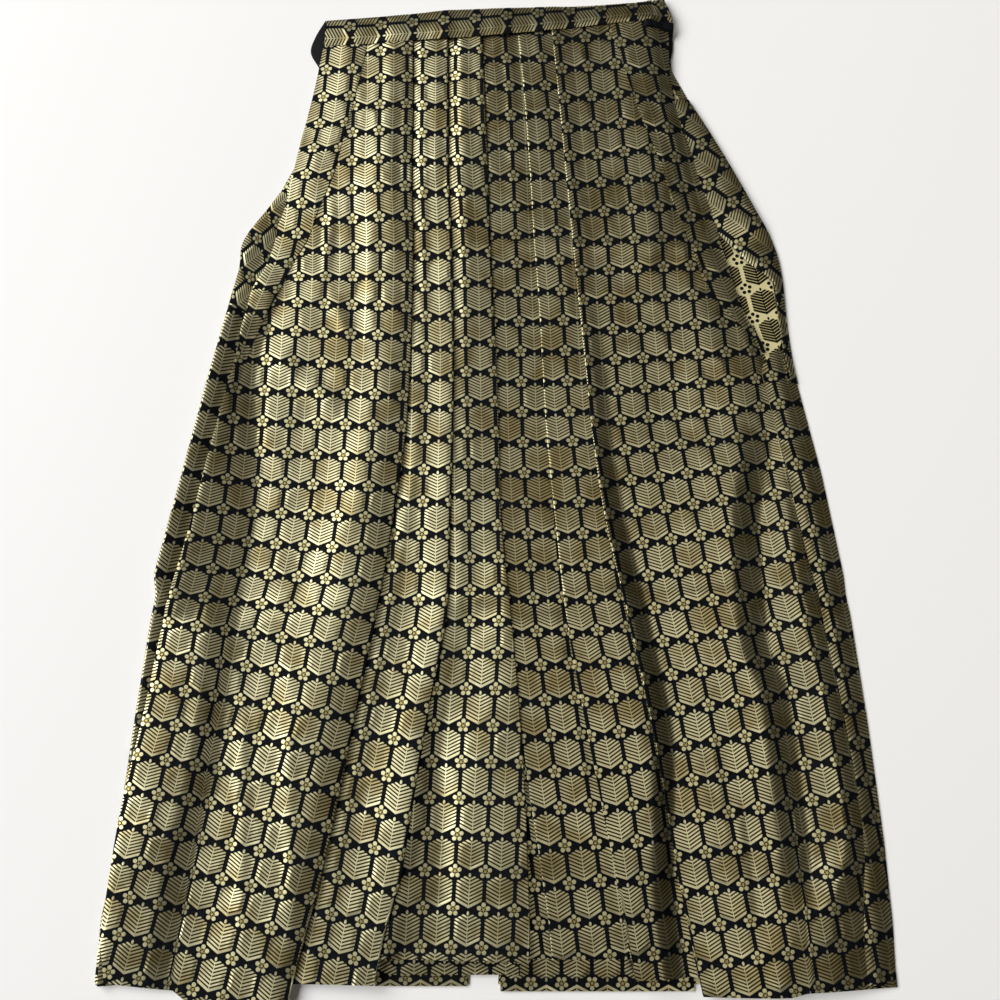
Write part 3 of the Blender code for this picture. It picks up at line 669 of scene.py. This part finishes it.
def panel(start, end, foot, top, hem, run, count, inward, climb):
    # A panel climbs beside the pleat that it comes out from, then rises slowly to its own fold.
    x = between(start, end, count)
    past = (x - foot[:, None]) * inward
    whole = ((end - foot) * inward)[:, None]
    quick = pleats["quick"]
    layer = top * (quick * smooth(past / climb) + (1.0 - quick) * np.clip(past / whole, 0.0, 1.0))
    hems = hem(x) if callable(hem) else hem
    if callable(hem):  # the side edge hugs the cloth below it
        layer = layer - pleats["edgeHug"] * (1.0 - smooth(np.abs(x - start[:, None]) / 4.0))
    height = placed(x, levels[:, None] + 0.0 * x, hems)
    return segment(x, layer, hems, run(x, height))


def backUnder(before, edge, end, top, drop, hem, sign):
    # the cloth turned back under a panel's fold, sinking towards its inner fold
    x = between(edge, end, pleats["turnColumns"])
    layer = between(top, top - drop, pleats["turnColumns"])
    return segment(x, layer, hem, carriedOn(before, x, layer, sign))


def pleatedFront(name, side, edges, runs, hems, sideHem, last):
    # Three panels from the side to the centre, each folded over the next one.
    # At each edge the cloth turns back under, then forward again below the next panel.
    inward = 1 if side == "left" else -1
    one, two, end = (curved(front, k, levels) for k in edges)
    outer = curved(front, side + "Side", levels)
    depth = np.maximum((two - one) * inward - pleats["margin"], pleats["least"])
    inner = np.maximum((end - two) * inward - pleats["margin"], pleats["least"])
    inner = np.minimum(inner, last["inner"])
    fold, under = pleats[side + "Fold"]
    full = np.full(levels.shape, fold)
    low = np.full(levels.shape, under)
    ground = 0.0 * levels
    foot = one - inward * (depth + pleats["sideClimb"])
    parts = [panel(outer, one, foot, fold, sideHem, runs[0], pleats["sideColumns"], inward,
                   pleats["sideClimb"])]
    for edge, hem, run, after in ((one, hems[0], runs[1], two), (two, hems[1], runs[2], end)):
        top = last["top"] if after is end else fold
        back = edge - inward * depth
        parts.append(folded(parts[-1], edge, full, low, inward, hem, inward))
        sunk = pleats["sunk"] * under
        parts.append(backUnder(parts[-1], edge, back, low, sunk, hem, inward))
        parts.append(folded(parts[-1], back, low - sunk, ground, -inward, hem, inward))
        parts.append(panel(back, after, edge + inward, top, hem, run, pleats["panelColumns"], inward,
                           pleats["climb"]))
    full = np.full(levels.shape, last["top"])
    below = full - pleats["centreDrop"]
    parts.append(folded(parts[-1], end, full, below, inward, hems[1], inward))
    sunk = last["top"] * (1.0 - pleats["quick"]) * inner / ((end - two) * inward)
    sunk = np.minimum(sunk, last["top"] - 0.65)
    parts.append(backUnder(parts[-1], end, end - inward * inner, below, sunk, hems[1], inward))
    if side == "right":
        back = end - inward * inner
        centre = curved(front, "centre", levels) - 8.0
        parts.append(folded(parts[-1], back, below - sunk, ground, -inward, hems[1], inward))
        parts.append(backUnder(parts[-1], back, centre, ground, 0.0, hems[1], inward))
    whole, uv = joined(parts)
    x = whole["x"]
    height = placed(x, levels[:, None] + 0.0 * x, whole["hem"])
    z = heightOf(baseLayer(x, height) + whole["layer"]) + lift(x, height)
    points = np.stack((x, height, z), axis=-1)
    if side == "right":
        points, uv = turnedRound(points, uv)
    made = clothPiece(name + "_cloth", points, uv, faceCloth, wrongCloth, name)
    print(name, points.shape)
    return made, points


def edgeHem(table):
    # a hem whose height changes along it
    return lambda x: np.interp(x, table["x"], table["height"])


frontLeft, leftPoints = pleatedFront(
    "front_left", "left", ("leftOne", "leftTwo", "centre"),
    (along("leftOne", 0), along("leftTwo", 0), along("leftThree", 0)),
    pleats["leftHem"], edgeHem(leftHem), {"inner": 45.0, "top": 2.5},
)
frontRight, rightPoints = pleatedFront(
    "front_right", "right", ("rightOne", "rightTwo", "hidden"),
    (along("rightOne", 0), along("rightTwo", 0), along("rightThree", 0)),
    pleats["rightHem"], edgeHem(rightHem), {"inner": 22.0, "top": 0.95},
)


# the backs, wrong side up
backs = tableOf(
    "height leftSide leftFold rightFold rightSide",
    (0, -324, -23.0, 2.0, 324), (60, -323, -22.0, 2.0, 324), (130, -314, -19.0, 2.5, 321),
    (230, -305, -12.0, 3.0, 313), (317, -296, -5.0, 2.5, 304), (334, -293, -3.0, 2.0, 301),
    (352, -296, -1.6, 1.6, 300), (440, -277, -1.6, 1.6, 286), (530, -258, -1.6, 1.6, 267),
    (590, -244, -1.6, 1.6, 261), (645, -232, -1.6, 1.6, 255), (690, -209, -1.6, 1.6, 237),
    (732, -188, -1.6, 1.6, 216), (758, -182, -1.6, 1.6, 200), (787, -174, -1.6, 1.6, 180),
    (812, -171, -1.6, 1.6, 165), (848, -166, -1.6, 1.6, 161),
)
backShape = {
    "hem": 19.0, "pleatDepth": 34.0, "pleatHem": 75.0, "columns": 60, "rows": 150,
    "turned": (7.0, 23.0), "leftTurn": 575.0, "rightTurn": 535.0,  # the strip turned in, wider below
    "leftPuff": 3.8, "rightPuff": 2.6, "puffTop": 590.0,
}
backLevels = np.linspace(0.0, 848.0, backShape["rows"])


def straightRun(middle, start, tilt=0.0):
    # the pattern on cloth that runs straight: across from its middle and up from its start
    def coordinates(x, height):
        across = (x - middle) / repeat["across"]
        return np.stack((across, (height - start - tilt * (x - middle)) / repeat["along"]), axis=-1)

    return coordinates


def backPanel(name, side):
    # one leg's back, flat on the surface, its inner edge folded in at the centre pleat
    sign = -1 if side == "left" else 1
    outer = np.interp(backLevels, backs["height"], backs[side + "Side"])
    fold = curved(backs, side + "Fold", backLevels)
    zero = 0.0 * backLevels
    above, wider = backShape["turned"]
    turned = above + wider * (1.0 - smooth((backLevels - backShape[side + "Turn"]) / 30.0))
    x = between(outer - sign * turned, outer, 16)
    puff = 1.0 - 0.75 * smooth((backLevels - backShape["puffTop"]) / 60.0)
    puff = backShape[side + "Puff"] * puff[:, None]
    across = np.abs(x - outer[:, None])
    rise = smooth(across / 2.4 + 0.4) * (1.0 - smooth((across - 1.5) / 21.0))
    layer = 0.45 + puff * (rise if side == "left" else smooth((across + 2.0) / 20.0))
    hem = backShape["hem"]
    tall = placed(x, backLevels[:, None] + 0.0 * x, hem)
    parts = [segment(x, layer, hem, along(side + "Edge", 0.5)(x, tall))]
    parts.append(folded(parts[-1], outer, layer[:, -1], zero, sign, hem, sign))
    x = between(outer, fold, backShape["columns"])
    run = straightRun(-222.0, 587.0, -0.10) if side == "left" else along("rightWrong", 0)
    tall = placed(x, backLevels[:, None] + 0.0 * x, hem)
    parts.append(segment(x, 0.0, hem, run(x, tall)))
    half = zero + 0.5
    parts.append(folded(parts[-1], fold, zero, half, -sign, hem, -sign))
    x = between(fold, fold + sign * backShape["pleatDepth"], 6)
    layer = np.broadcast_to(half[:, None], x.shape)
    parts.append(segment(x, layer, backShape["pleatHem"], carriedOn(parts[-1], x, layer, -sign)))
    whole, uv = joined(parts)
    x = whole["x"]
    height = backLevels[:, None] + 0.0 * x
    points = np.stack((x, placed(x, height, whole["hem"]), heightOf(whole["layer"])), axis=-1)
    if sign > 0:
        points, uv = turnedRound(points, uv)
    made = clothPiece(name + "_cloth", points, uv, wrongCloth, faceCloth, name)
    return made


backPanel("back_left", "left")
backPanel("back_right", "right")
print("backs made")

# narrow pleats and turned edges beside the side openings
leftPleat = {
    "size": (0.045, 0.33), "crown": 0.25, "edges": tableOf(
        "height outer inner",
        (545, -227, -224), (557, -230, -220), (593, -226, -206), (611, -222, -197), (635, -210, -187),
        (658, -203, -174), (687, -200, -165), (719, -191, -153), (756, -183, -144), (802, -173, -133),
        (862, -163, -121),
    ),
}
rightPleat = {
    "size": (0.065, 0.33), "crown": 0.25, "edges": tableOf(
        "height outer inner",
        (552, 242, 239), (562, 238, 231), (575, 231, 222), (591, 223, 207), (610, 217, 193),
        (663, 203, 174), (698, 194, 161), (741, 182, 147), (772, 169, 134), (795, 164, 125),
        (862, 163, 103),
    ),
}
leftFlap = {
    "size": (0.045, 0.20), "crown": 0.8,
    "lean": tableOf("height rise", (583, -2.0), (600, -5.5), (660, -5.5), (716, -2.0)),
    "edges": tableOf(
        "height outer inner",
        (583, -245, -238), (590, -243, -226), (597, -242, -210), (634, -234, -196), (652, -233, -190),
        (694, -208, -176), (716, -194, -168),
    ),
}
rightFlap = {
    "size": (0.06, 0.28), "crown": 2.4,
    "lean": tableOf("height rise", (524, -2.6), (640, -2.2), (675, 2.6), (787, 1.6)),
    "edges": tableOf(
        "height outer inner",
        (524, 269, 263), (563, 263, 256), (604, 261, 253), (622, 260, 249), (631, 259, 237),
        (651, 255, 218), (689, 238, 186), (732, 216, 168), (758, 200, 158), (787, 180, 152),
    ),
}


def slantedRun(origin, right, up):
    # the pattern on a turned-over edge: two steps in mm, one repeat across and one repeat up
    turn = np.linalg.inv(np.array([right, up], float))

    def coordinates(x, height):
        return np.stack((x - origin[0], height - origin[1]), axis=-1) @ turn

    return coordinates


def narrowPiece(name, piece, layerOf, run, cloths=(faceCloth, wrongCloth),
                level=False):
    # A sheet between two edges, a little crowned across. Where its lean is above nought the right edge
    # stands higher by that many mm, and below nought the left edge does.
    edges = piece["edges"]
    height = np.linspace(edges["height"][0], edges["height"][-1], piece.get("rows", 70))
    outer, inner = curved(edges, "outer", height), curved(edges, "inner", height)
    left, right = np.minimum(outer, inner), np.maximum(outer, inner)
    t = np.linspace(0.0, 1.0, piece.get("columns", 14))
    x = between(left, right, len(t))
    tall = height[:, None] + 0.0 * x
    y = tall if level else placed(x, tall, 0.0)
    narrow = np.minimum((right - left) / 30.0, 1.0)[:, None]
    z = heightOf(layerOf(x, tall)) + piece.get("crown", 0.0) * narrow * (4 * t * (1 - t)) ** 0.6
    if "lean" in piece:
        tip = np.interp(height, piece["lean"]["height"], piece["lean"]["rise"])[:, None]
        z = z + np.maximum(tip, 0.0) * t + np.maximum(-tip, 0.0) * (1.0 - t)
    points = np.stack((x, y, z), axis=-1)
    uv = run(x, y)
    made = clothPiece(name + "_cloth", points, (uv[:, :-1], uv[:, 1:]), cloths[0], cloths[1], name)


def onFront(x, height):
    # half a layer above the fronts, following their swell
    return baseLayer(x, height) + 0.5 + lift(x, height) / cloth["pitch"]


def belowFront(x, height):
    # one layer above the backs
    return 1.0 + 0.0 * x


narrowPiece("side_pleat_left", leftPleat, onFront, along("leftStrip", 0))
narrowPiece("side_pleat_right", rightPleat, onFront, along("rightStrip", 0))
narrowPiece("side_flap_left", leftFlap, belowFront, slantedRun((-207, 640), (12, -20), (17, 17)))
narrowPiece("side_flap_right", rightFlap, belowFront, slantedRun((190, 754), (17, 22), (-22, 18)))

leftGusset = {
    "size": (0.12, 0.33), "rows": 40, "edges": tableOf(
        "height outer inner",
        (27, -88, 19), (120, -72, 15), (230, -54, 9), (345, -24, -1),
    ),
}
rightGusset = {
    "size": (0.12, 0.33), "rows": 40, "edges": tableOf(
        "height outer inner",
        (50, 100, 32), (120, 84, 30), (230, 62, 22), (345, 32, 8),
    ),
}


def underLegs(x, height):
    # two layers above the backs
    return 2.0 + 0.0 * x


narrowPiece("gusset_left", leftGusset, underLegs, straightRun(-30.0, 40.0))
narrowPiece("gusset_right", rightGusset, underLegs, straightRun(60.0, 40.0))

leftHemTurn = {"left": -99.0, "right": -24.0, "low": 18.0, "high": 60.0}
rightHemTurn = {"left": 3.0, "right": 160.0, "low": 14.0, "high": 60.0}


def hemTurn(name, turn):
    # the back's hem turned up inside the leg, its pattern upside down
    left, right, low, high = turn["left"], turn["right"], turn["low"], turn["high"]
    piece = {"size": (abs(right - left) * 0.001, (high - low) * 0.001), "rows": 12, "columns": 24}
    piece["edges"] = tableOf("height outer inner", (low, left, right), (high, left, right))
    run = slantedRun((left, low + 6.0), (-repeat["across"], 0), (0, -repeat["along"]))
    narrowPiece(name, piece, belowFront, run, level=True)


hemTurn("hem_turn_left", leftHemTurn)
hemTurn("hem_turn_right", rightHemTurn)
print("side pieces and hems made")

# the waistband: cloth turned a quarter, points to the right end
bandShape = {
    "edge": 5.6, "lap": 3.0, "seam": 1.6, "fall": 2.4, "fuller": 0.35, "ripple": 0.22, "columns": 150,
    "hexAbove": 6.8, "hexAt": -154.2, "hexStep": 29.7, "slant": 0.36, "slantFrom": 138.0,
}


def bandPiece():
    # a face, a folded upper edge and a back, with the fronts' top inside them
    x = np.linspace(band["x"][0], band["x"][-1], bandShape["columns"])
    low, high, foot, layer = (curved(band, k, x, "x") for k in ("low", "high", "foot", "layer"))
    low = low + bandShape["seam"]
    rise = np.maximum(lift(x, np.full(x.shape, 862.0)) - 0.8, 0.0)
    start, rear = heightOf(foot) + rise, heightOf(2.0 + 0.0 * x)
    top = np.maximum(start - bandShape["fall"], heightOf(layer - 1.6))
    edge = high - bandShape["edge"]
    t = np.linspace(0.0, 1.0, 14)
    ripple = bandShape["ripple"] * np.sin(x[:, None] / 6.1 + 2.0 * t) * np.sin(x[:, None] / 14.3)
    soft = (bandShape["fuller"] + ripple) * np.sin(np.pi * t)  # fuller between seam and fold
    faceY = low[:, None] + (edge - low)[:, None] * t
    faceZ = start[:, None] + (top - start)[:, None] * t ** 1.7 + cloth["wall"] * smooth(5.0 * t) + soft
    top = top + cloth["wall"]
    angle = np.linspace(0.0, np.pi, 10)[1:-1]
    middle, radius = (top + rear) / 2, (top - rear) / 2
    foldY = edge[:, None] + (bandShape["edge"] - cloth["wall"] / 2) * np.sin(angle)
    foldZ = middle[:, None] + radius[:, None] * np.cos(angle)
    rearY = between(edge, low + bandShape["lap"], 6)
    rearZ = np.broadcast_to(rear[:, None], rearY.shape)
    y = np.concatenate((faceY, foldY, rearY), axis=1)
    z = np.concatenate((faceZ, foldZ, rearZ), axis=1)
    # the right end is cut on a slant
    slant = bandShape["slant"] * smooth((x - bandShape["slantFrom"]) / 27.0)
    slant = slant[:, None] * np.maximum(y - low[:, None] - 4.0, 0.0)
    points = np.stack(((x + 1.5 * smooth((x - 140.0) / 25.0))[:, None] - slant, y, z), axis=-1)
    run = np.gradient(points[:, :, [1, 2]], axis=1)
    run /= np.linalg.norm(run, axis=2, keepdims=True)
    normal = np.stack((0.0 * run[:, :, 0], -run[:, :, 1], run[:, :, 0]), axis=-1)
    length = np.hypot(np.diff(y, axis=1, prepend=y[:, :1]), np.diff(z, axis=1, prepend=z[:, :1]))
    u = (np.cumsum(length, axis=1) - bandShape["hexAbove"]) / repeat["across"] + 0.5
    v = -(points[:, :, 0] - bandShape["hexAt"]) / bandShape["hexStep"] + 0.5
    uv = np.stack((u, v), axis=-1)
    points, normal, uv = (part.transpose(1, 0, 2)[::-1] for part in (points, normal, uv))
    made = clothPiece("front_band_cloth", points, (uv[:, :-1], uv[:, 1:]), faceCloth, wrongCloth,
                      "front_band", normal=normal)


bandPiece()

# ties and the back's band
leftTie = {
    "size": (0.06, 0.25), "crown": 0.3, "edges": tableOf(
        "height outer inner",
        (640, -127, -100), (740, -140, -108), (800, -154, -118), (834, -169, -126), (849, -177, -128),
        (866, -173, -131), (883, -164, -140),
    ),
}
rightTie = {
    "size": (0.06, 0.25), "crown": 0.3, "edges": tableOf(
        "height outer inner",
        (640, 118, 92), (740, 128, 99), (800, 140, 108), (820, 152, 116), (838, 163, 124),
        (858, 167, 128), (865, 167, 134), (870, 167, 138), (876.5, 167, 140),
    ),
}


def overSeam(x, height):
    # the right tie comes up out of the side of the seam, below the free end of the band
    shown = smooth((height - 865.0) / 4.0) * smooth((x - 134.0) / 5.0)
    return 1.0 + shown * (3.7 + lift(x, height) / cloth["pitch"])


narrowPiece("front_tie_left", leftTie, belowFront, straightRun(0.0, 0.0),
            (satin, satin), level=True)
narrowPiece("front_tie_right", rightTie, overSeam, straightRun(0.0, 0.0),
            (satin, satin), level=True)

backBand = {"x": (-158.0, 155.0), "rise": (-3.0, 24.0), "layer": 0.0}
leftBackTie = {"x": (-104.0, -8.0), "rise": (-2.0, 22.0), "layer": 1.0}
rightBackTie = {"x": (8.0, 104.0), "rise": (-2.0, 22.0), "layer": 1.0}


def waistPiece(name, piece, upper, lower):
    # a sheet along the waist seam that follows its slope
    left, right = piece["x"]
    low, high = piece["rise"]
    x = np.linspace(left, right, 60)[None, :]
    y = band["low"][0] + waistRise(x) + np.linspace(low, high, 10)[:, None]
    points = np.stack((np.broadcast_to(x, y.shape), y, heightOf(piece["layer"]) + 0.0 * y), axis=-1)
    uv = np.stack(((y - 850.0) / repeat["across"], -points[:, :, 0] / repeat["along"]), axis=-1)
    uv = (uv[:, :-1], uv[:, 1:])
    made = clothPiece(name + "_cloth", points, uv, upper, lower, name)


waistPiece("back_band", backBand, wrongCloth, faceCloth)
waistPiece("back_tie_left", leftBackTie, satin, satin)
waistPiece("back_tie_right", rightBackTie, satin, satin)
print("band and ties made")

# floor, light and camera
studio = {"floor": "#F3F2F0", "sky": (1.0, 0.99, 0.97, 1.0), "skyStrength": 0.035}
windowLight = {"power": 330.0, "place": (-3.1, 0.9, 2.9), "size": (5.8, 3.0), "aim": (0.0, 0.1, 0.0)}
fillLight = {
    "power": 2.0, "place": (0.62, 0.55, 1.8), "size": (0.95, 3.0), "aim": (0.62, 0.55, 0.0),
    "spread": 50.0, "colour": (1.0, 0.955, 0.90),
}
view = {"lens": 37.44, "frame": 36.0, "place": (0.00264, -0.1903, 0.9011), "tilt": 10.0}
floorMesh = bpy.data.meshes.new("floor")
floorMesh.from_pydata([(-4, -4, 0), (4, -4, 0), (4, 4, 0), (-4, 4, 0)], [], [(0, 1, 2, 3)])
floor = bpy.data.objects.new("floor", floorMesh)
bpy.context.scene.collection.objects.link(floor)
# Matt painted board: even, pale and without shine, so it only catches soft shadows.
paint = bpy.data.materials.new("paintedBoard")
paint.use_nodes = True
paintShader = paint.node_tree.nodes["Principled BSDF"]
paintShader.inputs["Base Color"].default_value = linear(studio["floor"])
paintShader.inputs["Roughness"].default_value = 0.9
paintShader.inputs["Specular IOR Level"].default_value = 0.1
floorMesh.materials.append(paint)


def softbox(name, light):
    # a rectangle of light, turned to face its aim
    lamp = bpy.data.lights.new(name, "AREA")
    lamp.energy = light["power"]
    lamp.color = light.get("colour", (1.0, 1.0, 1.0))
    lamp.spread = np.radians(light.get("spread", 180.0))
    lamp.shape = "RECTANGLE"
    lamp.size, lamp.size_y = light["size"]
    made = bpy.data.objects.new(name, lamp)
    bpy.context.scene.collection.objects.link(made)
    made.location = light["place"]
    towards = np.array(light["aim"]) - np.array(light["place"])
    towards = towards / np.linalg.norm(towards)
    made.rotation_euler = (np.arccos(-towards[2]), 0.0, np.arctan2(-towards[0], towards[1]))


softbox("windowLight", windowLight)
softbox("fillLight", fillLight)
world = bpy.data.worlds.new("room")
world.use_nodes = True
world.node_tree.nodes["Background"].inputs[0].default_value = studio["sky"]
world.node_tree.nodes["Background"].inputs[1].default_value = studio["skyStrength"]
bpy.context.scene.world = world
bpy.context.scene.view_settings.view_transform = "Standard"

lens = bpy.data.cameras.new("camera")
lens.lens = view["lens"]
lens.sensor_width = view["frame"]
camera = bpy.data.objects.new("camera", lens)
camera.location = view["place"]
camera.rotation_euler = (np.radians(view["tilt"]), 0.0, 0.0)
bpy.context.scene.collection.objects.link(camera)
bpy.context.scene.camera = camera
print("stage and camera set")
